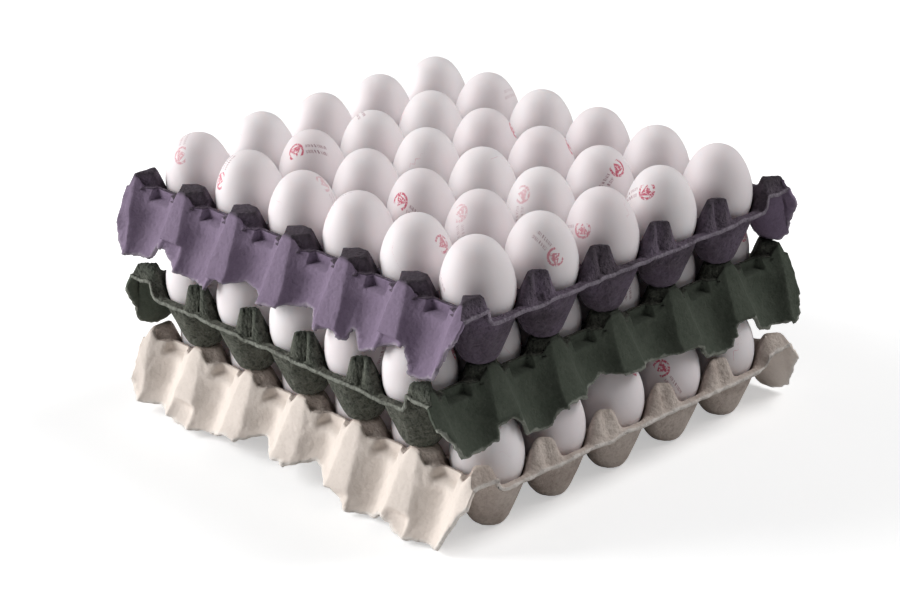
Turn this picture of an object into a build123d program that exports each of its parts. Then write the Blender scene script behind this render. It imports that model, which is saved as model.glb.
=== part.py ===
import os
from math import atan2, cos, degrees, hypot, pi, sin

from build123d import *

# Driving sizes in millimetres. A tray's own zero height is the underside of its cups.
pitch = 48.0
wall = 2.2
cap_height = 49.0
post_height = 16.0
saddle_rise = 8.5
overrun = 1.0

# Cups, regular octagons that widen upwards
cup_foot_radius = 9.5
cup_slope_share = 0.394

# Posts that stand at the corners of the cells
post_half_along = 8.5
post_half_across = 7.0
post_slope_share = 0.35
skirt_post_taper_share = 0.25
skirt_post_lean = 2.0

# The two open ends, each a flat flange with half posts on it
flange_overhang = 2.0
half_post_setback = 0.8
crease_half = 4.5
crease_depth = 3.2

# The two skirts, a leaning sheet with a hollow facet at each post
skirt_gap = 3.7
skirt_lean = 20.5
strip_depth = 9.5
facet_stand = 3.8
facet_height = 27.0
facet_half_top = 4.5
facet_half_foot = 8.0
facet_rise = 7.3
facet_spread = 7.0
facet_top_share = 0.55
ledge_half = 8.5
ledge_setback = 2.0
ledge_drop = 6.5
arch_gap = 2.2
arch_half = 14.0
arch_reach = 5.0
arch_shares = [(1.0, 0.0), (0.9, 0.3), (0.76, 0.6), (0.56, 0.84), (0.32, 0.97)]
end_cut_run = 16.0
end_cut_gap = 0.8

# The worn lower edges of two front skirts, as shares of the flange's half length and the arch height
top_edge_shares = [
    (-0.93, 0.15), (-0.8, 0.23), (-0.75, 0.76), (-0.68, 0.76), (-0.6, 0.3), (-0.52, 0.18), (-0.4, 0.2),
    (-0.37, 0.6), (-0.2, 0.71), (-0.08, 0.56), (0.1, 0.68), (0.2, 0.78), (0.24, 0.42), (0.34, 0.55),
    (0.42, 0.34), (0.44, 0.78), (0.49, 0.2), (0.575, 0.46), (0.63, 0.71), (0.73, 0.88), (0.77, 0.13),
    (0.93, 0.25),
]
bottom_edge_shares = [
    (-0.93, 0.35), (-0.71, 0.35), (-0.66, 0.2), (-0.44, 0.28), (-0.39, 0.68), (-0.27, 0.63), (-0.17, 0.91),
    (-0.11, 0.62), (0.04, 0.65), (0.14, 0.86), (0.19, 0.66), (0.31, 0.47), (0.41, 0.06), (0.51, 0.04),
    (0.58, 0.48), (0.62, 0.33), (0.67, 0.04), (0.93, 0.04),
]

# Eggs, pointed end up, each held by the sides of its cup
egg_half_width = 21.0
egg_upper_length = 30.0
egg_lower_length = 26.5
egg_upper_tip = 14.0
egg_lower_tip = 18.0
egg_seat_clearance = 0.15

# How far the stack leans along the long rows
stagger = 2.0

columns = 6
rows = 5
sides = 8
trays = 3

os.makedirs("parts", exist_ok=True)

column_xs = [pitch * (i - (columns - 1) / 2) for i in range(columns)]
row_ys = [pitch * (j - (rows - 1) / 2) for j in range(rows)]
post_xs = [pitch * (i - columns / 2) for i in range(columns + 1)]
post_ys = [pitch * (j - rows / 2) for j in range(rows + 1)]
inner_xs = post_xs[1:-1]
inner_ys = post_ys[1:-1]
end_x = post_xs[-1]
skirt_y = post_ys[-1]

rim_height = cap_height - post_height
saddle_height = rim_height + saddle_rise
flange_half = end_x + flange_overhang
half_post_reach = end_x - half_post_setback
skirt_top = skirt_y + skirt_gap
skirt_foot = skirt_top + skirt_lean
strip_inner = skirt_y - strip_depth
skirt_slope_share = skirt_lean / saddle_height
facet_front_top = skirt_top + facet_stand
facet_front_foot = facet_front_top + skirt_slope_share * facet_height
facet_foot_height = cap_height - facet_height
ledge_back = skirt_top - ledge_setback
ledge_height = saddle_height - ledge_drop
arch_height = facet_foot_height - arch_gap
arch_back = skirt_top - arch_reach
end_cut_height = rim_height - wall - end_cut_gap
end_cut_foot = flange_half - end_cut_run
end_cut_back = skirt_y

cup_inset = wall * hypot(1.0, cup_slope_share)
post_inset = wall * hypot(1.0, post_slope_share)
skirt_inset = wall * hypot(1.0, skirt_slope_share)
half_post_slope_share = (flange_overhang + half_post_setback) / post_height


def block(low, low_z, high, high_z):
    # a solid with flat sides between two outlines of the same number of corners
    foot = [Vector(x, y, low_z) for x, y in low]
    head = [Vector(x, y, high_z) for x, y in high]
    faces = [Face(Wire.make_polygon(foot)), Face(Wire.make_polygon(head))]
    for i in range(len(foot)):
        j = (i + 1) % len(foot)
        faces.append(Face(Wire.make_polygon([foot[i], foot[j], head[j], head[i]])))
    return Solid(Shell(faces))


def box(low, high):
    (ax, ay, az), (bx, by, bz) = low, high
    outline = [(ax, ay), (bx, ay), (bx, by), (ax, by)]
    return block(outline, az, outline, bz)


def run(points, start, end, axis):
    # an outline in a standing plane, drawn out along X or Y
    if axis == "x":
        face = Face(Wire.make_polygon([Vector(start, a, b) for a, b in points]))
        return Solid.extrude(face, Vector(end - start, 0, 0))
    face = Face(Wire.make_polygon([Vector(a, start, b) for a, b in points]))
    return Solid.extrude(face, Vector(0, end - start, 0))


def octagon(x, y, radius):
    corner = radius / cos(pi / sides)
    turns = [2 * pi * (i + 0.5) / sides for i in range(sides)]
    return [(x + corner * cos(a), y + corner * sin(a)) for a in turns]


def rectangle(low_x, high_x, low_y, high_y):
    return [(low_x, low_y), (high_x, low_y), (high_x, high_y), (low_x, high_y)]


def pockets(inset, floor):
    low_radius = cup_foot_radius + cup_slope_share * floor - inset
    top = cap_height + overrun
    high_radius = cup_foot_radius + cup_slope_share * top - inset
    return [
        block(octagon(x, y, low_radius), floor, octagon(x, y, high_radius), top)
        for x in column_xs
        for y in row_ys
    ]


def post_bounds(x, y, z, inset):
    # the four sides of a post at one height, moved in by the wall for its hollow
    drop = cap_height - z
    along = post_half_along + post_slope_share * drop
    across = post_half_across + post_slope_share * drop
    shift = post_inset if inset else 0
    bounds = [x - along + shift, x + along - shift, y - across + shift, y + across - shift]
    if abs(y) == skirt_y:
        narrow = post_half_along + skirt_post_taper_share * drop - shift
        front = skirt_y + post_half_across + skirt_post_lean * drop / (cap_height - rim_height) - shift
        bounds[0] = x - narrow
        bounds[1] = x + narrow
        bounds[3 if y > 0 else 2] = front if y > 0 else -front
    if abs(x) == end_x:
        outer = half_post_reach + half_post_slope_share * drop - shift
        bounds[1 if x > 0 else 0] = outer if x > 0 else -outer
    return bounds


def posts(inset):
    top = cap_height - inset
    foot = rim_height - inset - overrun
    return [
        block(
            rectangle(*post_bounds(x, y, foot, inset)), foot,
            rectangle(*post_bounds(x, y, top, inset)), top,
        )
        for x in post_xs
        for y in post_ys
    ]


def creases(inset):
    # upright grooves in the outer faces of the half posts
    grow = inset * hypot(crease_half, crease_depth) / crease_half
    foot = rim_height - inset - 2 * overrun
    top = cap_height + overrun
    made = []
    for side in (-1, 1):
        for y in inner_ys:
            outlines = []
            for z in (foot, top):
                face_x = half_post_reach + half_post_slope_share * (cap_height - z)
                apex = face_x - crease_depth - grow
                mouth = face_x + 2 * overrun
                half = (mouth - apex) * crease_half / crease_depth
                outlines.append([(side * mouth, y - half), (side * apex, y), (side * mouth, y + half)])
            made.append(block(outlines[0], foot, outlines[1], top))
    return made


def facet_outline(x, side, z, inset):
    drop = (cap_height - z) / facet_height
    front = facet_front_top + drop * (facet_front_foot - facet_front_top)
    half = facet_half_top + drop * (facet_half_foot - facet_half_top)
    share = facet_top_share + drop * (1 - facet_top_share)
    base = front - share * facet_rise
    back = base - facet_rise
    if inset:
        lean = facet_spread / facet_rise
        front = front - skirt_inset
        half = half + lean * skirt_inset - inset * hypot(1.0, lean)
    wide = half + (front - base) * facet_spread / facet_rise
    points = [(-wide, back), (-wide, base), (-half, front), (half, front), (wide, base), (wide, back)]
    return [(x + a, side * b) for a, b in points]


def facets(inset):
    top = cap_height - inset
    foot = facet_foot_height + inset
    return [
        block(facet_outline(x, side, foot, inset), foot, facet_outline(x, side, top, inset), top)
        for x in post_xs
        for side in (-1, 1)
    ]


def ledges(inset):
    half = ledge_half + inset
    back = ledge_back - inset
    front = skirt_foot + overrun
    made = []
    for x in column_xs:
        low_z = ledge_height - inset
        top = cap_height + overrun
        made.append(box((x - half, -front, low_z), (x + half, -back, top)))
        made.append(box((x - half, back, low_z), (x + half, front, top)))
    return made


def slab(inset):
    foot = -overrun if inset else 0
    shift = skirt_inset if inset else 0
    top = saddle_height - inset
    foot_y = skirt_top + skirt_slope_share * (saddle_height - foot) - shift
    top_y = skirt_top + skirt_slope_share * (saddle_height - top) - shift
    step_y = strip_inner + inset
    rim = rim_height - inset
    half = [(foot_y, foot), (top_y, top), (step_y, top), (step_y, rim)]
    points = half + [(-y, z) for y, z in reversed(half)]
    reach = flange_half + overrun if inset else flange_half
    return run(points, -reach, reach, "x")


def envelope(inset):
    # everything below the upper face, or below the lower face when the wall is taken off
    solid = slab(inset) + posts(inset)
    solid = solid + facets(inset)
    floor = -2 * overrun if inset else wall
    solid = solid - pockets(0 if inset else cup_inset, floor)
    return solid - ledges(inset) - creases(inset)


def arches():
    # openings below the facets, where the eggs of the tray below stand
    rise = [(arch_half * a, arch_height * b) for a, b in arch_shares]
    arch = [(arch_half, -overrun)] + rise + [(-x, z) for x, z in reversed(rise)] + [(-arch_half, -overrun)]
    return [[(x + a, b) for a, b in arch] for x in inner_xs]


def worn_edge(shares):
    edge = [(flange_half * a, arch_height * b) for a, b in shares]
    return [(edge[0][0], -overrun)] + edge + [(edge[-1][0], -overrun)]


def skirt_cuts(front_shares):
    # the lower edges of both skirts and their slanting ends
    far = flange_half + overrun
    slant = (flange_half - end_cut_foot) / end_cut_height
    end = [
        (end_cut_foot - slant * overrun, -overrun),
        (far, -overrun),
        (far, end_cut_height + overrun / slant),
    ]
    front = skirt_foot + overrun
    made = []
    for side in (-1, 1):
        outlines = [worn_edge(front_shares)] if front_shares and side < 0 else arches()
        for outline in outlines:
            made.append(run(outline, side * arch_back, side * front, "y"))
        for end_side in (-1, 1):
            outline = [(end_side * a, b) for a, b in end]
            made.append(run(outline, side * end_cut_back, side * front, "y"))
    return made


def make_tray(front_shares):
    upper = envelope(0) & box((-flange_half, -pitch * rows, 0), (flange_half, pitch * rows, cap_height))
    return upper - envelope(wall) - skirt_cuts(front_shares)


def side_radius(length, tip_radius):
    # radius of the side arc that runs smoothly into an end cap
    reach = length - tip_radius
    return (egg_half_width ** 2 + reach ** 2 - tip_radius ** 2) / (2 * (egg_half_width - tip_radius))


def egg_seat():
    # height of the widest level when the lower half touches the sides of its cup
    radius = side_radius(egg_lower_length, egg_lower_tip)
    slope = cup_slope_share
    reach = radius * hypot(1.0, slope) - (radius - egg_half_width)
    return (reach - cup_foot_radius + cup_inset) / slope + egg_seat_clearance


def egg_arcs(seat, length, tip_radius, way):
    radius = side_radius(length, tip_radius)
    swing = degrees(atan2(length - tip_radius, radius - egg_half_width))
    CenterArc((egg_half_width - radius, seat), radius, 0, way * swing)
    tip = seat + way * (length - tip_radius)
    CenterArc((0, tip), tip_radius, way * swing, way * (90 - swing))


def make_egg():
    seat = egg_seat()
    with BuildSketch(Plane.XZ) as profile:
        with BuildLine():
            egg_arcs(seat, egg_upper_length, egg_upper_tip, 1)
            egg_arcs(seat, egg_lower_length, egg_lower_tip, -1)
            Line((0, seat + egg_upper_length), (0, seat - egg_lower_length))
        make_face()
    return revolve(profile.sketch, Axis.Z)


egg = make_egg()
tray_names = ["bottom", "middle", "top"]
front_edges = [bottom_edge_shares, [], top_edge_shares]
print("egg", round(egg.volume), "seat", egg_seat())

for level in range(trays):
    name = tray_names[level]
    tray = make_tray(front_edges[level])
    print(name, tray.is_valid, len(tray.solids()), round(tray.volume), tray.bounding_box())
    turn = 90 if level % 2 else 0
    place = Location((stagger * (1 - level), 0, cap_height * level), (0, 0, turn))
    export_step(place * tray.solids()[0], "parts/tray_" + name + ".step")
    for column, x in enumerate(column_xs):
        row = [place * Location((x, y, 0)) * egg for y in row_ys]
        eggs = Compound(children=[piece.solids()[0] for piece in row])
        export_step(eggs, "parts/eggs_" + name + "_row_" + str(column + 1) + ".step")
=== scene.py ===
import math

import bmesh
import bpy
import numpy as np
from mathutils import Matrix, Vector


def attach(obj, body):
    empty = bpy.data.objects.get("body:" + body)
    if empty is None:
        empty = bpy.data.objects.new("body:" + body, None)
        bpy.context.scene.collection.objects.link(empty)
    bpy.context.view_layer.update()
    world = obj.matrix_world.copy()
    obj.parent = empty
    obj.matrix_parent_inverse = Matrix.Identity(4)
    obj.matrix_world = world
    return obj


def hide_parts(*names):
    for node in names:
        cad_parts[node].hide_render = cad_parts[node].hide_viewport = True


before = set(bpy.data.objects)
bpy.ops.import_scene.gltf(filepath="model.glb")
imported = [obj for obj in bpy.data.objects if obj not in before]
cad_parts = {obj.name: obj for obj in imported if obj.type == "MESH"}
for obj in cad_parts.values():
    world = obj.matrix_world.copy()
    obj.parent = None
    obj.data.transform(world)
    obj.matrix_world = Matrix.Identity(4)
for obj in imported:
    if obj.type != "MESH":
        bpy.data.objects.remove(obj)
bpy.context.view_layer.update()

scene = bpy.context.scene
mm = 0.001
fullTurn = 2 * math.pi

# one moulding serves for all the trays, sizes in millimetres
mould = {
    "pitch": 48.0,
    "endAt": 144.0,  # line of the half posts, three cells from the middle
    "skirtAt": 120.0,  # line of the skirt's posts, two cells and a half from the middle
    "wall": 2.2,
    "cap": 49.0,
    "rim": 33.0,
    "saddle": 41.5,
    "stripFoot": 110.0,  # the rim rises to the saddle between these two lines
    "stripHead": 112.0,
    "cupRadius": 7.14,  # inside the cup, at its foot
    "cupSlope": 0.394,
    "cupBulge": 1.2,
    "postX": 8.5,
    "postY": 7.0,
    "postSlope": 0.35,
    "noWall": 20.0,  # how far above the cap a side runs where the post has none
    "capFront": 3.2,  # half width of a skirt post's cap at its front
    "capWide": 11.4,
    "capSplay": 0.92,
    "skirtPostSlope": 0.25,
    "end": 146.0,
    "endPost": 142.4,
    "endSlope": 0.075,
    "creaseHalf": 4.5,
    "creaseDepth": 3.2,
    "skirtTop": 123.7,
    "skirtSlope": 0.494,
    "facetTop": 127.5,
    "facetFoot": 22.0,
    "facetHalfTop": 3.6,
    "facetHalfFoot": 8.0,
    "footDrop": 0.9,  # a facet starts to step back this far below its foot
    "footFade": 1.4,  # height of that step
    "endFade": 34.0,  # height of the step at an end post
    "flare": 0.4,  # how much more a facet's flanks stand out below that step
    "flareIn": 2.0,
    "flareOut": 2.5,
    "trough": 2.8,  # how much deeper the skirt lies midway between two facets
    "troughFade": 9.0,
    "ledgeHalf": 8.5,
    "ledgeBack": 121.7,
    "ledgeFoot": 35.0,
    "ledgeSoft": 0.3,
    "archHalf": 14.0,
    "archTop": 19.8,
    "endCutFoot": 130.0,
    "endCutTop": 30.0,
}
rounding = {
    "post": 4.0,
    "cap": 1.6,
    "postFoot": 1.4,
    "cup": 1.2,
    "cupFoot": 1.8,
    "cupRim": 1.6,
    "tornEnd": 2.0,
    "tornFoot": 3.0,
}


def softMin(a, b, k):
    h = np.clip(0.5 + 0.5 * (b - a) / k, 0.0, 1.0)
    return b * (1 - h) + a * h - k * h * (1 - h)


def softMax(a, b, k):
    return -softMin(-a, -b, k)


def ease(low, high, v):
    t = np.clip((v - low) / (high - low), 0.0, 1.0)
    return t * t * (3 - 2 * t)


class Ripple:
    # a sum of random waves, the same for the same seed
    def __init__(self, seed, shortest, longest, count=14):
        rng = np.random.default_rng(seed)
        self.lengths = np.exp(rng.uniform(np.log(shortest), np.log(longest), count))
        self.turns = rng.uniform(0, 2 * np.pi, count)
        self.phases = rng.uniform(0, 2 * np.pi, count)
        self.share = np.sqrt(2.0 / count)

    def __call__(self, a, b):
        total = 0.0
        for length, turn, phase in zip(self.lengths, self.turns, self.phases):
            total = total + np.sin((a * np.cos(turn) + b * np.sin(turn)) * 2 * np.pi / length + phase)
        return total * self.share


def nearPost(x, y):
    p = mould["pitch"]
    px = np.clip(np.round(x / p), -3, 3) * p
    py = np.clip(np.floor(y / p) + 0.5, -2.5, 2.5) * p
    return px, py


def nearColumn(x):
    # number of the column of cells, from 0 to 5, and its middle line
    p = mould["pitch"]
    column = np.clip(np.floor(x / p), -3, 2)
    return column.astype(int) + 3, (column + 0.5) * p


def topHeight(x, y):
    # upper face of the moulding inside its skirts
    m = mould
    px, py = nearPost(x, y)
    ax, ay = np.abs(x - px), np.abs(y - py)
    onSkirt = np.abs(py) >= m["skirtAt"]
    onEnd = np.abs(px) >= m["endAt"]
    slopeX = np.where(onSkirt, m["skirtPostSlope"], m["postSlope"])
    splay = m["capFront"] + m["capSplay"] * np.maximum(m["facetTop"] - np.abs(y), 0)
    splay = np.minimum(splay, m["capWide"])
    sideX = m["cap"] - (ax - np.where(onSkirt, splay, m["postX"])) / slopeX
    sideY = m["cap"] - (ay - m["postY"]) / m["postSlope"]
    sideY = np.where(onSkirt & (np.abs(y) > np.abs(py)), m["cap"] + m["noWall"], sideY)
    post = softMin(softMin(sideX, sideY, rounding["post"]), m["cap"] + 0 * x, rounding["cap"])
    crease = np.where(onSkirt, 0.0, m["creaseDepth"] * np.clip(1 - ay / m["creaseHalf"], 0, 1))
    outer = m["cap"] - (np.abs(x) + crease - m["endPost"]) / m["endSlope"]
    post = np.where(onEnd, softMin(post, outer, rounding["post"]), post)
    flat = m["rim"] + (m["saddle"] - m["rim"]) * ease(m["stripFoot"], m["stripHead"], np.abs(y))
    top = softMax(flat, post, rounding["postFoot"])
    _, cx = nearColumn(x)
    cy = np.clip(np.round(y / m["pitch"]), -2, 2) * m["pitch"]
    dx, dy = np.abs(x - cx), np.abs(y - cy)
    square = softMax(dx, dy, rounding["cup"])
    across = softMax(square, (dx + dy) / math.sqrt(2), rounding["cup"])
    cup = (across - m["cupRadius"]) / m["cupSlope"]
    part = np.clip(cup / m["rim"], 0, 1)
    cup = cup - m["cupBulge"] * 4 * part * (1 - part)
    cup = softMax(cup, m["wall"] + 0 * x, rounding["cupFoot"])
    return softMin(top, cup, rounding["cupRim"])


def facetHalf(z):
    m = mould
    drop = np.clip((m["cap"] - z) / (m["cap"] - m["facetFoot"]), 0.0, 1.0)
    return m["facetHalfTop"] + (m["facetHalfFoot"] - m["facetHalfTop"]) * drop


def skirtReach(x, z, skirt):
    # how far out the skirt stands at a height
    m = mould
    px, _ = nearPost(x, 0 * x)
    ax = np.abs(x - px)
    post = np.round(px / m["pitch"]).astype(int) + 3
    foot = np.array(skirt["facetFeet"])[post] - m["footDrop"]
    half = facetHalf(z)
    deep = m["trough"] * ease(m["ledgeFoot"], m["ledgeFoot"] - m["troughFade"], z)
    trough = m["skirtTop"] + m["skirtSlope"] * (m["saddle"] - z) - deep
    front = m["facetTop"] + m["skirtSlope"] * (m["cap"] - z)
    rise = np.clip(1 - (ax - half) / (m["pitch"] / 2 - half), 0, 1) ** skirt["curve"]
    fade = np.where(np.abs(px) >= m["endAt"], m["endFade"], m["footFade"])
    panel = ease(foot, foot + fade, z)
    below = skirt["below"] + m["flare"] * ease(half - m["flareIn"], half + m["flareOut"], ax)
    reach = trough + (front - trough) * rise * (panel + (1 - panel) * below)
    _, cx = nearColumn(x)
    soft = m["ledgeSoft"]
    ledge = 1 - ease(m["ledgeHalf"] - soft, m["ledgeHalf"] + soft, np.abs(x - cx))
    ledge = ledge * ease(m["ledgeFoot"] - soft, m["ledgeFoot"] + soft, z)
    return reach * (1 - ledge) + m["ledgeBack"] * ledge


# lower outline of a skirt: a drawn edge, or arches with a lobe between each two
outline = {
    "span": 0.8,  # half the stretch over which a drawn edge's slope is taken
    "archPower": 1.8,
    "archLeast": 0.01,
    "archFlat": 0.02,
    "noArch": 30.0,
    "lobeRise": 3.0,
    "lobeHalf": 12.0,
    "lobePower": 2.5,
    "lobeLean": 0.9,
}


def skirtMargin(x, z, skirt):
    # distance inside the skirt's outline, below zero where the sheet is open
    m, o = mould, outline
    if "edge" in skirt:
        xs, zs = np.array(skirt["edge"]).T
        span = o["span"]
        slope = (np.interp(x + span, xs, zs) - np.interp(x - span, xs, zs)) / (2 * span)
        return (z - np.interp(x, xs, zs)) / np.sqrt(1 + slope * slope)
    run, rise = m["end"] - m["endCutFoot"], m["endCutTop"]
    end = (z * run - (np.abs(x) - m["endCutFoot"]) * rise) / math.hypot(run, rise)
    px, _ = nearPost(x, 0 * x)
    power = o["archPower"]
    a = np.maximum(np.abs(x - px), o["archLeast"]) / m["archHalf"]
    b = np.maximum(z, o["archLeast"]) / m["archTop"]
    level = a**power + b**power - 1
    steep = np.hypot(power * a ** (power - 1) / m["archHalf"], power * b ** (power - 1) / m["archTop"])
    arch = np.where(np.abs(px) >= m["endAt"], o["noArch"], level / np.maximum(steep, o["archFlat"]))
    column, cx = nearColumn(x)
    lobe = o["lobeRise"] * (np.abs(x - cx) / o["lobeHalf"]) ** o["lobePower"]
    foot = np.array(skirt["feet"])[column] + lobe
    sides = softMin(arch, end, rounding["tornEnd"])
    return softMin(sides, (z - foot) * o["lobeLean"], rounding["tornFoot"])


def skirtSide(tray, tears, side):
    # a side's skirt, and its margin with the ragged tear
    tear, skirt = (tears[0], tray["front"]) if side < 0 else (tears[1], tray["back"])

    def margin(x, z):
        return skirtMargin(x, z, skirt) + tray["ragged"] * tear(x, z)

    return skirt, margin


def spread(stops):
    # a run of values with its own step in each stretch
    out = [stops[0][0]]
    for (start, step), (end, _) in zip(stops[:-1], stops[1:]):
        count = max(1, int(round(abs(end - start) / step)))
        out += list(start + (end - start) * (np.arange(count) + 1) / count)
    return np.array(out)


# columns of the grid, as distances from each post's middle, and the last ones at the ends
postLines = [0, 1.7, 3.3, 3.9, 5.0, 6.2, 7.4, 8.3, 9.0, 9.8]
postLines += [10.6, 12.2, 14.1, 15.2, 15.8, 17.6, 19.6, 21.8, 24]
endLines = [144.7, 145.4]
beforeLedge = 15.2
# rows of the grid: where each stretch starts, and its step
rowStops = [(0, 2.4), (11.4, 1.4), (17, 1.75), (31, 1.4), (36.6, 2.4), (59.4, 1.4), (65, 1.75)]
rowStops += [(79, 1.4), (84.6, 2.4), (107.4, 1.4), (113, 1.5), (122, 0.8), (126, 0.8)]
# rows of a skirt
fall = {"count": 9, "step": 1.5, "fineStep": 1.4, "aboveLedge": 0.4, "aboveFoot": 0.5}


def gridLines():
    # columns that follow the edges of posts, facets and ledges, and rows that follow the posts
    m = mould
    columns = {*endLines, m["end"]}
    for post in range(4):
        for line in postLines:
            columns.add(round(post * m["pitch"] + line, 3))
            columns.add(round(abs(post * m["pitch"] - line), 3))
    half = np.array(sorted(c for c in columns if c <= m["end"]))
    columns = np.concatenate([-half[:0:-1], half])
    flats = spread(rowStops)
    return columns, np.concatenate([-flats[:0:-1], flats])


def fallLines(crest):
    # heights of a skirt's rows, from its crest down past the ledges and the feet of the facets
    m, count, step = mould, fall["count"], fall["step"]
    low = m["ledgeFoot"] + fall["aboveLedge"]
    rows = [crest + (low - crest) * k / count for k in range(1, count + 1)]
    stops = [(m["ledgeFoot"] - m["ledgeSoft"], step), (m["facetFoot"] + fall["aboveFoot"], fall["fineStep"])]
    stops += [(m["facetFoot"] - m["footDrop"], step), (0, step)]
    return rows + [0 * crest + level for level in spread(stops)]


def skirtColumns(columns, z):
    # the columns spread sideways with the facets as the skirt goes down
    px, _ = nearPost(columns, 0 * columns)
    away = np.abs(columns - px)
    top = mould["facetHalfTop"]
    outside = np.clip((beforeLedge - away) / (beforeLedge - top), 0, 1)
    share = np.where(away < top, away / top, outside)
    share = np.where(np.abs(columns) > mould["endAt"], 0, share)
    return columns + np.sign(columns - px) * share * (facetHalf(z) - top)


# shortest and longest wave of each ripple, and how many where it isn't the usual count
ripples = {"sway": (30, 90), "grain": (3, 14, 24), "lip": (9, 40), "tear": (2.2, 12, 20)}
# shifts that keep the two sides of a tray from rippling alike
shifts = {"sway": 300, "grain": 90, "lipRise": 400, "lipPull": 300, "lipStart": 50}
laying = {
    "crestGap": 0.5,  # the crest is taken this far inside the skirt
    "ledgeGap": 0.9,
    "stillTo": 1.0,  # the skirt holds still down to here below the crest
    "freeFrom": 6.0,
    "curlDepth": 5.0,
    "stretchFrom": 100.0,  # rows past this line stretch to meet the skirt
    "floorGrain": 0.7,
    "grainFrom": 6.0,
    "grainFull": 20.0,
    "lipDepth": 10.0,
    "lipDrop": 6.0,
    "lipPull": 0.6,
    "endMargin": 0.4,
}


def trayArrays(tray):
    # places of the grid's corners, with the torn margin at each
    m, lay = mould, laying
    columns, flats = gridLines()
    seed = tray["seed"]
    sway, grain = Ripple(seed, *ripples["sway"]), Ripple(seed + 1, *ripples["grain"])
    lip = Ripple(seed + 2, *ripples["lip"])
    tears = [Ripple(seed + 3, *ripples["tear"]), Ripple(seed + 4, *ripples["tear"])]
    capReach = skirtReach(columns, m["cap"] + 0 * columns, plainSkirt)
    crest = topHeight(columns, np.maximum(capReach - lay["crestGap"], m["ledgeBack"] - lay["ledgeGap"]))
    sheets, margins, sides = [], [], []

    def skirtRow(side, z):
        x = skirtColumns(columns, z)
        skirt, marginAt = skirtSide(tray, tears, side)
        margin = marginAt(x, z)
        soft = ease(lay["stillTo"], lay["freeFrom"], crest - z)
        y = skirtReach(x, z, skirt) + soft * tray["curl"] * ease(lay["curlDepth"], 0.0, margin)
        waves = tray["sway"] * sway(x, z + shifts["sway"] * side)
        waves = waves + tray["grain"] * grain(x, z + shifts["grain"] * side)
        y = y + soft * waves
        sheets.append(np.stack([x, side * y, z], 1))
        margins.append(margin)
        sides.append(side)

    for z in fallLines(crest)[::-1]:
        skirtRow(-1, z)
    edge = skirtReach(columns, crest, plainSkirt)
    start, pull, way = lay["stretchFrom"], lay["lipPull"], np.sign(columns)
    nearEnd = ease(lay["lipDepth"], 0.0, m["end"] - np.abs(columns))
    for flat in flats:
        far = np.maximum(np.abs(flat) - start, 0) / (flats[-1] - start)
        y = np.sign(flat) * np.where(far > 0, start + far * (edge - start), np.abs(flat))
        z = topHeight(columns, y)
        grained = ease(lay["grainFrom"], lay["grainFull"], z)
        z = z + tray["grain"] * lay["floorGrain"] * grain(columns, y) * grained
        rise = nearEnd * tray["lip"] * lip(way * shifts["lipRise"], y)
        z = z + rise * (z < m["cap"] - lay["lipDrop"])
        swing = pull + pull * lip(y, way * shifts["lipPull"] + shifts["lipStart"])
        x = columns - way * nearEnd * tray["lip"] * swing
        sheets.append(np.stack([x, y, z], 1))
        margins.append(m["end"] - np.abs(columns) + lay["endMargin"])
        sides.append(0)
    for z in fallLines(crest):
        skirtRow(1, z)
    points = np.array(sheets)
    for _ in range(tray["soften"]):
        inner = points[1:-1, 1:-1]
        around = points[:-2, 1:-1] + points[2:, 1:-1] + points[1:-1, :-2] + points[1:-1, 2:]
        points[1:-1, 1:-1] = inner / 2 + around / 8
    return points, np.array(margins), np.array(sides), tears


# how far a corner may move to reach the torn outline, and how the way there is found
snap = {"rounds": 4, "step": 0.05, "flat": 0.15, "across": 1.0, "up": 1.3, "bulge": 3.0}


def snapTears(points, margin, sides, tears, tray):
    # keep the cells inside the torn outline and pull its corners onto it
    whole = 0.25 * (margin[:-1, :-1] + margin[1:, :-1] + margin[:-1, 1:] + margin[1:, 1:]) > 0
    inside = np.zeros(margin.shape, bool)
    outside = np.zeros(margin.shape, bool)
    for dj in (0, 1):
        for di in (0, 1):
            rows, cols = slice(dj, dj + whole.shape[0]), slice(di, di + whole.shape[1])
            inside[rows, cols] |= whole
            outside[rows, cols] |= ~whole
    onEdge = inside & outside
    onEdge[0] |= inside[0]
    onEdge[-1] |= inside[-1]
    step, across, up = snap["step"], snap["across"], snap["up"]
    for side in (-1, 1):
        rows = (sides == side)[:, None] & onEdge
        oldX, oldZ = points[..., 0][rows], points[..., 2][rows]
        x, z = oldX.copy(), oldZ.copy()
        skirt, marginAt = skirtSide(tray, tears, side)
        bulge = np.abs(points[..., 1][rows]) - skirtReach(x, z, skirt)
        bulge = np.clip(bulge, -snap["bulge"], snap["bulge"])
        for _ in range(snap["rounds"]):
            here = marginAt(x, z)
            gx = (marginAt(x + step, z) - marginAt(x - step, z)) / (2 * step)
            gz = (marginAt(x, z + step) - marginAt(x, z - step)) / (2 * step)
            size = np.maximum(gx * gx + gz * gz, snap["flat"])
            x = oldX + np.clip(x - here * gx / size - oldX, -across, across)
            z = oldZ + np.clip(z - here * gz / size - oldZ, -up, up)
        z = np.maximum(z, tray["lowest"])
        x = np.clip(x, -mould["end"], mould["end"])
        points[..., 0][rows] = x
        points[..., 1][rows] = side * (skirtReach(x, z, skirt) + bulge)
        points[..., 2][rows] = z
    margin[onEdge] = 0
    return whole


# how far in from a torn edge its margin is kept, and how far below the cap top the painted shade on the caps
# starts and is full
edgeMarginAndCapShade = {"edge": 8.0, "capShadeStart": 2.5, "capShadeFull": 0.6}


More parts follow.
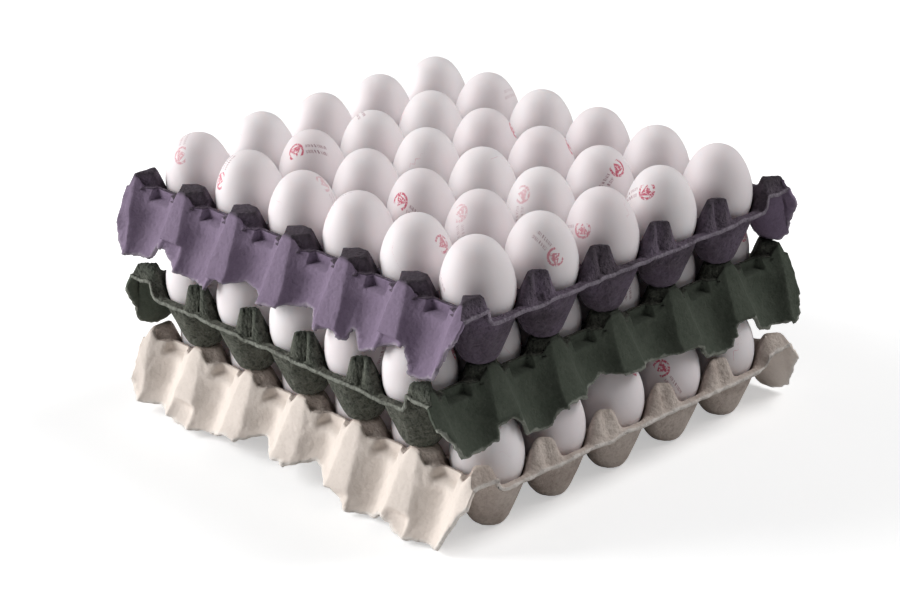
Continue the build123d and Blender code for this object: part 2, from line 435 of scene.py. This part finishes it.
def layTray(tray):
    points, margin, sides, tears = trayArrays(tray)
    whole = snapTears(points, margin, sides, tears, tray)
    countY, countX = margin.shape
    bm = bmesh.new()
    bmesh.ops.create_grid(bm, x_segments=countX - 1, y_segments=countY - 1, size=1.0)
    edge = bm.verts.layers.float.new("edge")
    cap = bm.verts.layers.float.new("cap")
    smooth = bm.verts.layers.float.new("smooth")
    places = {}
    for v in bm.verts:
        i = int(round((v.co.x + 1) * 0.5 * (countX - 1)))
        j = int(round((v.co.y + 1) * 0.5 * (countY - 1)))
        places[v.index] = (j, i)
    gone = []
    for f in bm.faces:
        j = min(places[v.index][0] for v in f.verts)
        i = min(places[v.index][1] for v in f.verts)
        if not whole[j, i]:
            gone.append(f)
    turn = Matrix.Rotation(math.radians(tray["turn"]), 4, "Z")
    place = Matrix.Translation(Vector(tray["place"]) * mm) @ turn @ Matrix.Scale(mm, 4)
    # the cap layer marks the caps' tops, which take a painted shade
    capShadeLow, capShadeHigh = mould["cap"] - edgeMarginAndCapShade["capShadeStart"], mould["cap"] - edgeMarginAndCapShade["capShadeFull"]
    for v in bm.verts:
        at = places[v.index]
        v.co = place @ Vector(points[at])
        v[edge] = max(0.0, min(edgeMarginAndCapShade["edge"], float(margin[at])))
        v[cap] = float(ease(capShadeLow, capShadeHigh, points[at][2]))
        v[smooth] = float(sides[at[0]] != 0)
    bmesh.ops.delete(bm, geom=gone, context="FACES")
    for f in bm.faces:
        f.smooth = True
    return bm


def addPiece(name, bm, paint, node):
    mesh = bpy.data.meshes.new(name)
    bm.to_mesh(mesh)
    bm.free()
    piece = bpy.data.objects.new(name, mesh)
    scene.collection.objects.link(piece)
    mesh.materials.append(paint)
    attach(piece, "root")
    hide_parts(*node)
    return piece


class Wire:
    # a shader socket that takes part in Python sums
    def __init__(self, paint, socket):
        self.paint, self.socket = paint, socket

    def sum(self, way, a, b):
        return self.paint.node("ShaderNodeMath", {"operation": way}, {0: a, 1: b})

    def __add__(self, other):
        return self.sum("ADD", self, other)

    def __radd__(self, other):
        return self.sum("ADD", other, self)

    def __sub__(self, other):
        return self.sum("SUBTRACT", self, other)

    def __rsub__(self, other):
        return self.sum("SUBTRACT", other, self)

    def __mul__(self, other):
        return self.sum("MULTIPLY", self, other)

    def __rmul__(self, other):
        return self.sum("MULTIPLY", other, self)

    def __truediv__(self, other):
        return self.sum("DIVIDE", self, other)

    def __rtruediv__(self, other):
        return self.sum("DIVIDE", other, self)

    def __pow__(self, other):
        return self.sum("POWER", self, other)


class Paint:
    def __init__(self, name):
        self.material = bpy.data.materials.new(name)
        self.material.use_nodes = True
        self.tree = self.material.node_tree
        self.surface = self.tree.nodes["Principled BSDF"]

    def node(self, kind, settings=None, inputs=None, out=0):
        made = self.tree.nodes.new(kind)
        for key, value in (settings or {}).items():
            setattr(made, key, value)
        for key, value in (inputs or {}).items():
            self.feed(made.inputs[key], value)
        return Wire(self, made.outputs[out])

    def feed(self, socket, value):
        if isinstance(value, Wire):
            self.tree.links.new(value.socket, socket)
        else:
            socket.default_value = value

    def ease(self, value, low, high):
        settings = {"interpolation_type": "SMOOTHSTEP"}
        return self.node("ShaderNodeMapRange", settings, {"Value": value, "From Min": low, "From Max": high})

    def noise(self, where, scale, detail=3.0, rough=0.55):
        inputs = {"Vector": where, "Scale": scale, "Detail": detail, "Roughness": rough}
        return self.node("ShaderNodeTexNoise", None, inputs)

    def layer(self, name):
        return self.node("ShaderNodeAttribute", {"attribute_name": name}, None, out=2)

    def mix(self, share, a, b):
        settings = {"data_type": "RGBA", "blend_type": "MIX"}
        return self.node("ShaderNodeMix", settings, {0: share, 6: a, 7: b}, out=2)

    def bump(self, strength, distance, height):
        inputs = {"Strength": strength, "Distance": distance, "Height": height}
        return self.node("ShaderNodeBump", None, inputs)

    def finish(self, **sockets):
        for key, value in sockets.items():
            self.feed(self.surface.inputs[key.replace("_", " ")], value)
        return self.material


# scale, detail and roughness of each noise, and the stretch of it that each layer of colour takes
pulpGrain = {
    "cloud": (38.0, 4.0),
    "patch": (130.0, 3.0, 0.6),
    "fibre": (900.0, 3.0, 0.7),
    "pits": (420.0, 2.0, 0.5),
    "deepFrom": (0.3, 0.7),
    "patchFrom": (0.35, 0.75),
    "fibreFrom": (0.5, 0.75),
    "dentFrom": (0.5, 0.32),
    "speckFrom": (0.66, 0.72),
    "fringePatch": 3.0,
    "fringeFibre": 2.0,
    "reliefFibre": 0.4,
    "reliefPits": 1.3,
    "reliefPatch": 0.8,
    "relief": 0.0018,
    "shine": 0.25,
    "matt": 0.82,
    "mattFibre": 0.12,
}


def pulpPaint(name, pulp):
    p, g = Paint(name), pulpGrain
    where = p.node("ShaderNodeTexCoord", None, None, out=3)
    edge = p.layer("edge")
    cloud, patch, fibre, pits = (p.noise(where, *g[k]) for k in ("cloud", "patch", "fibre", "pits"))
    rough = 1 - p.layer("smooth") * pulp["smooth"]
    # the rough cups and floor move toward the deep colour: partly the rougher pulp's own tone, partly
    # painted light and shade for the side of the stack they face
    roughToneAndShadeShare = (p.ease(cloud, *g["deepFrom"]) * 0.5 + 0.5) * rough * rough
    base = p.mix(roughToneAndShadeShare, (*pulp["shade"], 1), (*pulp["deep"], 1))
    base = p.mix(p.ease(patch, *g["patchFrom"]) * pulp["patchy"] * rough, base, (*pulp["pale"], 1))
    base = p.mix(p.ease(fibre, *g["fibreFrom"]) * pulp["fibre"] * rough, base, (*pulp["pale"], 1))
    # painted shade: the caps' tops darken toward the cap colour
    base = p.mix(p.layer("cap") * (patch * 0.5 + 0.5), base, (*pulp["cap"], 1))
    base = p.mix(p.ease(pits, *g["dentFrom"]) * pulp["dents"] * rough, base, (*pulp["speck"], 1))
    base = p.mix(p.ease(pits, *g["speckFrom"]) * pulp["specks"] * rough, base, (*pulp["speck"], 1))
    frayed = edge + (patch - 0.5) * g["fringePatch"] + (fibre - 0.5) * g["fringeFibre"]
    fringe = p.ease(frayed, pulp["fringe"], 0.0)
    base = p.mix(fringe * pulp["fringeShare"], base, (*pulp["torn"], 1))
    relief = (fibre * g["reliefFibre"] + pits * g["reliefPits"] + patch * g["reliefPatch"]) * rough
    bump = p.bump(pulp["bump"], g["relief"], relief)
    p.surface.inputs["Specular IOR Level"].default_value = g["shine"]
    return p.finish(Base_Color=base, Roughness=g["matt"] + fibre * g["mattFibre"], Normal=bump)


# in each pulp, cap is a painted shade for the caps' tops
purplePulp = {
    "shade": (0.228, 0.173, 0.254),
    # deep: the rough cups' colour, partly the pulp's own tone and partly painted shade, as these cups face
    # away from the key lamp
    "deep": (0.078, 0.060, 0.076),
    "pale": (0.19, 0.157, 0.195),
    "torn": (0.33, 0.29, 0.34),
    "cap": (0.050, 0.040, 0.048),
    "speck": (0.05, 0.04, 0.055),
    "patchy": 0.35,
    "fibre": 0.35,
    "specks": 0.25,
    "dents": 0.4,
    "smooth": 0.75,
    "fringe": 1.4,
    "fringeShare": 0.75,
    "bump": 1.0,
}
greenPulp = {
    # shade and deep: partly the pulp's own tone, partly painted shade on the skirts, which face away from
    # the key lamp, and painted light on the cups, which face it
    "shade": (0.064, 0.077, 0.058),
    "deep": (0.092, 0.096, 0.076),
    "pale": (0.23, 0.232, 0.198),
    "torn": (0.30, 0.31, 0.27),
    "cap": (0.05, 0.058, 0.045),
    "speck": (0.012, 0.014, 0.011),
    "patchy": 0.35,
    "fibre": 0.6,
    "specks": 0.4,
    "dents": 0.55,
    "smooth": 0.78,
    "fringe": 1.4,
    "fringeShare": 0.8,
    "bump": 1.0,
}
beigePulp = {
    "shade": (0.83, 0.742, 0.675),
    # deep: the rough cups' colour, partly the pulp's own tone and partly painted shade, as these cups face
    # away from the key lamp
    "deep": (0.40, 0.325, 0.285),
    "pale": (0.72, 0.64, 0.58),
    "torn": (0.80, 0.76, 0.72),
    "cap": (0.50, 0.42, 0.37),
    "speck": (0.28, 0.21, 0.17),
    "patchy": 0.4,
    "fibre": 0.35,
    "specks": 0.3,
    "dents": 0.25,
    "smooth": 0.75,
    "fringe": 1.8,
    "fringeShare": 0.7,
    "bump": 0.55,
}

# skirts: the drawn edge or the feet of the lobes, the foot of each facet, and the form between facets
plainSkirt = {
    "feet": [1.5, 1.0, 1.8, 1.2, 1.6, 1.0],
    "facetFeet": [0, 22, 22, 22, 22, 22, 0],
    "below": 0.35,
    "curve": 2.2,
}
bottomFront = {
    "edge": [
        (-146, 17), (-142, 10), (-135, 7), (-104, 7), (-97, 4), (-70, 5), (-62, 8), (-52, 13),
        (-40, 12.5), (-25, 17.5), (-16, 12.3), (6, 12.8), (20, 17), (27, 13), (45, 9.3),
        (60, 3.2), (74, 3.2), (84, 9.6), (91, 6.5), (98, 3.2), (127, 3.3), (131, 7),
        (136, 15), (141, 26), (146, 32),
    ],
    "facetFeet": [0, 17, 8, 8, 11, 14, 0],
    "below": 0.5,
    "curve": 1.35,
}
middleFront = {
    "edge": [
        (-146, 30), (-141, 24), (-136, 17), (-131, 10), (-127, 7.5), (-113, 7.5), (-106, 12),
        (-102, 17), (-92, 18), (-85, 14.5), (-82, 6.5), (-71, 4), (-64, 4.5), (-59, 12),
        (-53, 15.5), (-44, 16), (-36, 13), (-28, 14.3), (-19, 18), (-8, 17), (8, 16.5),
        (21, 13.5), (28, 13), (36, 14), (42, 16), (53, 15.5), (59, 9), (64, 4.5), (76, 1.5),
        (82, 3), (86, 9), (90, 15), (103, 15.5), (109, 13.5), (113, 5), (120, 3.3),
        (130, 4.5), (140, 4), (143, 9), (146, 18),
    ],
    "facetFeet": [0, 20, 12, 12, 12, 17, 0],
    "below": 0.5,
    "curve": 2.6,
}
topFront = {
    "edge": [
        (-146, 20), (-142, 9), (-136, 4), (-117, 4.5), (-110, 15), (-101, 15), (-87, 6),
        (-76, 3.5), (-57, 4), (-53, 10.5), (-30, 14), (-12, 10.5), (14, 13), (29, 15.5),
        (35, 7.6), (50, 10.5), (61, 6.8), (64, 15.5), (72, 4), (84, 9), (92, 14), (107, 17.5),
        (113, 2.6), (125, 4), (131, 7), (137, 14), (140, 24), (146, 32),
    ],
    "facetFeet": [0, 21, 12, 10, 12, 20, 0],
    "below": 0.4,
    "curve": 2.8,
}
bottomBack = {**plainSkirt, "feet": [3.6, 3.2, 3.9, 3.3, 3.7, 3.2]}
bottomTray = {
    "seed": 11,
    "turn": 0,
    "place": (2.0, 0.0, 0.0),
    "front": bottomFront,
    "back": bottomBack,
    "lowest": 2.4,
    "ragged": 0.3,
    "curl": 2.0,
    "soften": 4,
    "sway": 0.35,
    "grain": 0.25,
    "lip": 0.5,
}
middleTray = {
    "seed": 23,
    "turn": 90,
    "place": (0.0, 0.0, 49.0),
    "front": middleFront,
    "back": plainSkirt,
    "lowest": 0.4,
    "ragged": 0.35,
    "curl": 1.2,
    "soften": 0,
    "sway": 0.3,
    "grain": 0.15,
    "lip": 0.35,
}
topTray = {
    "seed": 37,
    "turn": 0,
    "place": (-2.0, 0.0, 98.0),
    "front": topFront,
    "back": plainSkirt,
    "lowest": 0.4,
    "ragged": 0.3,
    "curl": 1.6,
    "soften": 0,
    "sway": 0.3,
    "grain": 0.1,
    "lip": 0.3,
}

trays = [
    ("trayBottom", bottomTray, "tray_bottom", "pulp_beige", beigePulp),
    ("trayMiddle", middleTray, "tray_middle", "pulp_green", greenPulp),
    ("trayTop", topTray, "tray_top", "pulp_purple", purplePulp),
]
for pieceName, tray, node, slotName, pulp in trays:
    piece = addPiece(pieceName, layTray(tray), pulpPaint(pieceName + "Pulp", pulp), [node])
    sheet = piece.modifiers.new("sheet", "SOLIDIFY")
    sheet.thickness = mould["wall"] * mm
    sheet.offset = -1.0
    print("tray", pieceName, len(piece.data.polygons))

eggShape = {
    "seed": 70,
    "around": 40,
    "rings": 26,
    "halfWidth": 21.0,
    "upper": 30.0,
    "upperTip": 16.5,
    "lower": 26.5,
    "lowerTip": 18.0,
    "seat": 41.33,
    "vary": 0.012,
    "tilt": 3.0,
}
# range of a stamp's strength, its bearing and its climb in degrees, and where an egg carries none
stampPlace = {"ink": (0.3, 1.6), "away": (-115, 25), "climb": (28, 66), "facing": 0.2, "none": (99.0, 99.0)}


def eggRadius(height):
    # two arcs on each side of the widest level, as the eggs are modelled
    wide = eggShape["halfWidth"]
    length, tip = eggShape["upper"], eggShape["upperTip"]
    if height < 0:
        length, tip, height = eggShape["lower"], eggShape["lowerTip"], -height
    reach = length - tip
    side = (wide**2 + reach**2 - tip**2) / (2 * (wide - tip))
    if height < side * math.sin(math.atan2(reach, side - wide)):
        return math.sqrt(side**2 - height**2) - (side - wide)
    return math.sqrt(max(0.0, tip**2 - (height - reach) ** 2))


def eggBody(unit):
    # a place on the unit ball moved onto the egg
    height = unit.z * (eggShape["upper"] if unit.z > 0 else eggShape["lower"])
    ring = max(1e-6, math.hypot(unit.x, unit.y))
    radius = eggRadius(height)
    return Vector((unit.x / ring * radius, unit.y / ring * radius, height))


def stampAxes(away, climb, spin):
    # the way a stamp faces, and its two directions on the shell
    flat = math.cos(climb)
    out = Vector((math.cos(away) * flat, math.sin(away) * flat, math.sin(climb)))
    right = Vector((-math.sin(away), math.cos(away), 0))
    across = math.cos(spin) * right + math.sin(spin) * out.cross(right)
    return out, across, out.cross(across)


def layEggs(level):
    # thirty eggs, each a little different in size, tilt and stamp
    rng = np.random.default_rng(eggShape["seed"] + level)
    tray, pitch = trays[level][1], mould["pitch"]
    turn = Matrix.Rotation(math.radians(tray["turn"]), 4, "Z")
    place = Matrix.Translation(Vector(tray["place"]) * mm) @ turn
    bm = bmesh.new()
    tint = bm.verts.layers.float.new("tint")
    ink = bm.verts.layers.float.new("ink")
    stamp = bm.loops.layers.uv.new("stamp")
    for column in range(6):
        for row in range(5):
            size = 1 - eggShape["vary"] * rng.random()
            shade, strength = rng.random(), min(1.0, rng.uniform(*stampPlace["ink"]))
            away = math.radians(rng.uniform(*stampPlace["away"]) - tray["turn"])
            climb, spin = math.radians(rng.uniform(*stampPlace["climb"])), rng.uniform(0, fullTurn)
            tilt = Matrix.Rotation(math.radians(rng.uniform(0, eggShape["tilt"])), 3, "X")
            tilt = Matrix.Rotation(rng.uniform(0, fullTurn), 3, "Z") @ tilt
            out, across, along = stampAxes(away, climb, spin)
            centre = Vector(((column - 2.5) * pitch, (row - 2) * pitch, eggShape["seat"]))
            made = bmesh.ops.create_uvsphere(
                bm, u_segments=eggShape["around"], v_segments=eggShape["rings"], radius=1.0
            )
            marks = {}
            for v in made["verts"]:
                body = eggBody(v.co)
                facing = v.co.dot(out) > stampPlace["facing"]
                marks[v] = (body.dot(across), body.dot(along)) if facing else stampPlace["none"]
                v.co = place @ ((centre + tilt @ body * size) * mm)
                v[tint] = shade
                v[ink] = strength
            for f in {f for v in made["verts"] for f in v.link_faces}:
                f.smooth = True
                for loop in f.loops:
                    loop[stamp].uv = marks[loop.vert]
    return bm


shellLook = {
    "shade": (0.87, 0.80, 0.815, 1),
    "pale": (0.91, 0.855, 0.865, 1),
    "badge": (0.64, 0.13, 0.20, 1),
    "strokes": (0.40, 0.22, 0.26, 1),
    "cloud": (60.0, 3.0),
    "pores": (1400.0, 2.0, 0.5),
    "blot": (900.0, 2.0, 0.6),
    "cloudShare": 0.6,
    "paleFrom": (0.1, 0.9),
    "bump": 0.08,
    "relief": 0.0004,
    "shine": 0.3,
    "matt": 0.5,
    "mattCloud": 0.1,
    "lightIn": 0.45,
    "lightRadius": (1.0, 0.85, 0.8),
    "lightDepth": 0.007,
}
# sizes of the stamp in millimetres, each pair the stretch over which an edge fades
stampShape = {
    "ringIn": (3.7, 4.0),
    "ringOut": (5.3, 5.0),
    "ringFoot": (-3.4, -2.8),
    "wedgeLean": 1.3,
    "wedgeSide": (-3.3, -2.9),
    "wedgeTop": (3.0, 2.6),
    "badgeBlot": (0.36, 0.52),
    "rowShift": 0.1,
    "rowGap": 1.7,
    "rowEdge": (0.7, 0.9),
    "rowsFoot": (-3.3, -3.1),
    "rowsTop": (3.5, 3.3),
    "rowsStart": (6.2, 6.5),
    "rowsEnd": (17.5, 16.0),
    "rowsBlot": (0.3, 0.5),
    "rowsInk": 0.85,
    "strokeLean": 0.35,
    "strokeScale": 1.25,
    "strokeEdge": (0.47, 0.53),
}


def shellPaint():
    p, look, s = Paint("shell"), shellLook, stampShape
    where = p.node("ShaderNodeTexCoord", None, None, out=3)
    tint, ink = p.layer("tint"), p.layer("ink")
    cloud, pores, blot = (p.noise(where, *look[k]) for k in ("cloud", "pores", "blot"))
    paleness = p.ease(tint + (cloud - 0.5) * look["cloudShare"], *look["paleFrom"])
    base = p.mix(paleness, look["shade"], look["pale"])
    mark = p.node("ShaderNodeUVMap", {"uv_map": "stamp"})
    u = p.node("ShaderNodeSeparateXYZ", None, {0: mark}, out=0)
    v = p.node("ShaderNodeSeparateXYZ", None, {0: mark}, out=1)
    # a plain badge: a wedge inside part of a ring
    away = (u * u + v * v) ** 0.5
    ring = p.ease(away, *s["ringIn"]) * p.ease(away, *s["ringOut"]) * p.ease(v, *s["ringFoot"])
    aside = p.node("ShaderNodeMath", {"operation": "ABSOLUTE"}, {0: u})
    wedge = p.ease(v - aside * s["wedgeLean"], *s["wedgeSide"]) * p.ease(v, *s["wedgeTop"])
    badge = p.node("ShaderNodeMath", {"operation": "MAXIMUM"}, {0: ring, 1: wedge})
    badge = badge * p.ease(blot, *s["badgeBlot"])
    # two rows of short strokes beside it
    line = p.node("ShaderNodeMath", {"operation": "PINGPONG"}, {0: v - s["rowShift"], 1: s["rowGap"]})
    rows = p.ease(line, *s["rowEdge"]) * p.ease(v, *s["rowsFoot"]) * p.ease(v, *s["rowsTop"])
    inputs = {"W": u + v * s["strokeLean"], "Scale": s["strokeScale"], "Detail": 1.0}
    stroke = p.node("ShaderNodeTexNoise", {"noise_dimensions": "1D"}, inputs)
    rows = rows * p.ease(stroke, *s["strokeEdge"])
    rows = rows * p.ease(u, *s["rowsStart"]) * p.ease(u, *s["rowsEnd"]) * p.ease(blot, *s["rowsBlot"])
    base = p.mix(rows * ink * s["rowsInk"], base, look["strokes"])
    base = p.mix(badge * ink, base, look["badge"])
    bump = p.bump(look["bump"], look["relief"], pores)
    p.surface.inputs["Specular IOR Level"].default_value = look["shine"]
    p.surface.inputs["Subsurface Weight"].default_value = look["lightIn"]
    p.surface.inputs["Subsurface Radius"].default_value = look["lightRadius"]
    p.surface.inputs["Subsurface Scale"].default_value = look["lightDepth"]
    return p.finish(Base_Color=base, Roughness=look["matt"] + cloud * look["mattCloud"], Normal=bump)


shell = shellPaint()
for level, levelName in enumerate(["bottom", "middle", "top"]):
    nodes = ["eggs_" + levelName + "_row_" + str(k + 1) for k in range(6)]
    piece = addPiece("eggs" + levelName.title(), layEggs(level), shell, nodes)
    print("eggs", levelName, len(piece.data.polygons))

view = {
    "turn": 47.52,
    "rise": 23.42,
    "roll": -1.70,
    "away": 1433.0,
    "aim": (82.64, -84.06, 118.0),
    "lens": 104.04,
    "sensor": 36.0,
    "near": 0.05,
    "far": 50.0,
}


def setCamera():
    turn, rise, roll = (math.radians(view[k]) for k in ("turn", "rise", "roll"))
    back = Vector((math.sin(turn) * math.cos(rise), -math.cos(turn) * math.cos(rise), math.sin(rise)))
    right = Vector((math.cos(turn), math.sin(turn), 0))
    up = back.cross(right)
    side = math.cos(roll) * right + math.sin(roll) * up
    head = -math.sin(roll) * right + math.cos(roll) * up
    data = bpy.data.cameras.new("camera")
    data.lens, data.sensor_width = view["lens"], view["sensor"]
    camera = bpy.data.objects.new("camera", data)
    scene.collection.objects.link(camera)
    at = Vector(view["aim"]) * mm + back * view["away"] * mm
    axes = Matrix((side, head, back)).transposed().to_4x4()
    camera.matrix_world = Matrix.Translation(at) @ axes
    data.clip_start, data.clip_end = view["near"], view["far"]
    scene.camera = camera


setCamera()

# sizes of the studio in metres
lamps = [
    {"name": "keyLamp", "at": (-2.9, -2.35, 1.5), "size": 2.6, "power": 190.0},
    {"name": "sideLamp", "at": (1.15, 2.0, 2.4), "size": 1.8, "power": 62.0},
]
studio = {
    "lampAim": (0, 0, 0.08),
    "fill": 0.09,
    "backdrop": 1.0,
    "floorHalf": 6.0,
    "floor": (0.93, 0.93, 0.93, 1),
    "floorMatt": 0.9,
    "glow": 0.45,
}
for lamp in lamps:
    data = bpy.data.lights.new(lamp["name"], "AREA")
    data.size, data.energy = lamp["size"], lamp["power"]
    light = bpy.data.objects.new(lamp["name"], data)
    scene.collection.objects.link(light)
    light.location = lamp["at"]
    light.rotation_euler = (Vector(studio["lampAim"]) - light.location).to_track_quat("-Z", "Y").to_euler()

world = bpy.data.worlds.new("studio")
scene.world = world
world.use_nodes = True
sky = world.node_tree.nodes["Background"]
seen = world.node_tree.nodes.new("ShaderNodeLightPath")
brightness = world.node_tree.nodes.new("ShaderNodeMapRange")
brightness.inputs["To Min"].default_value = studio["fill"]
brightness.inputs["To Max"].default_value = studio["backdrop"]
world.node_tree.links.new(seen.outputs["Is Camera Ray"], brightness.inputs["Value"])
world.node_tree.links.new(brightness.outputs["Result"], sky.inputs["Strength"])
sky.inputs["Color"].default_value = (1, 1, 1, 1)

bm = bmesh.new()
bmesh.ops.create_grid(bm, x_segments=1, y_segments=1, size=studio["floorHalf"])
floorMesh = bpy.data.meshes.new("floor")
bm.to_mesh(floorMesh)
bm.free()
floor = bpy.data.objects.new("floor", floorMesh)
scene.collection.objects.link(floor)
floorPaint = Paint("floorPaint")
floorPaint.surface.inputs["Emission Strength"].default_value = studio["glow"]
# the floor glows for the camera alone, so that it throws no light on the part
glow = floorPaint.node("ShaderNodeLightPath")
floorPaint.finish(Base_Color=studio["floor"], Roughness=studio["floorMatt"], Emission_Color=glow)
floorMesh.materials.append(floorPaint.material)
scene.view_settings.view_transform = "Standard"
print("camera, lamps and floor")
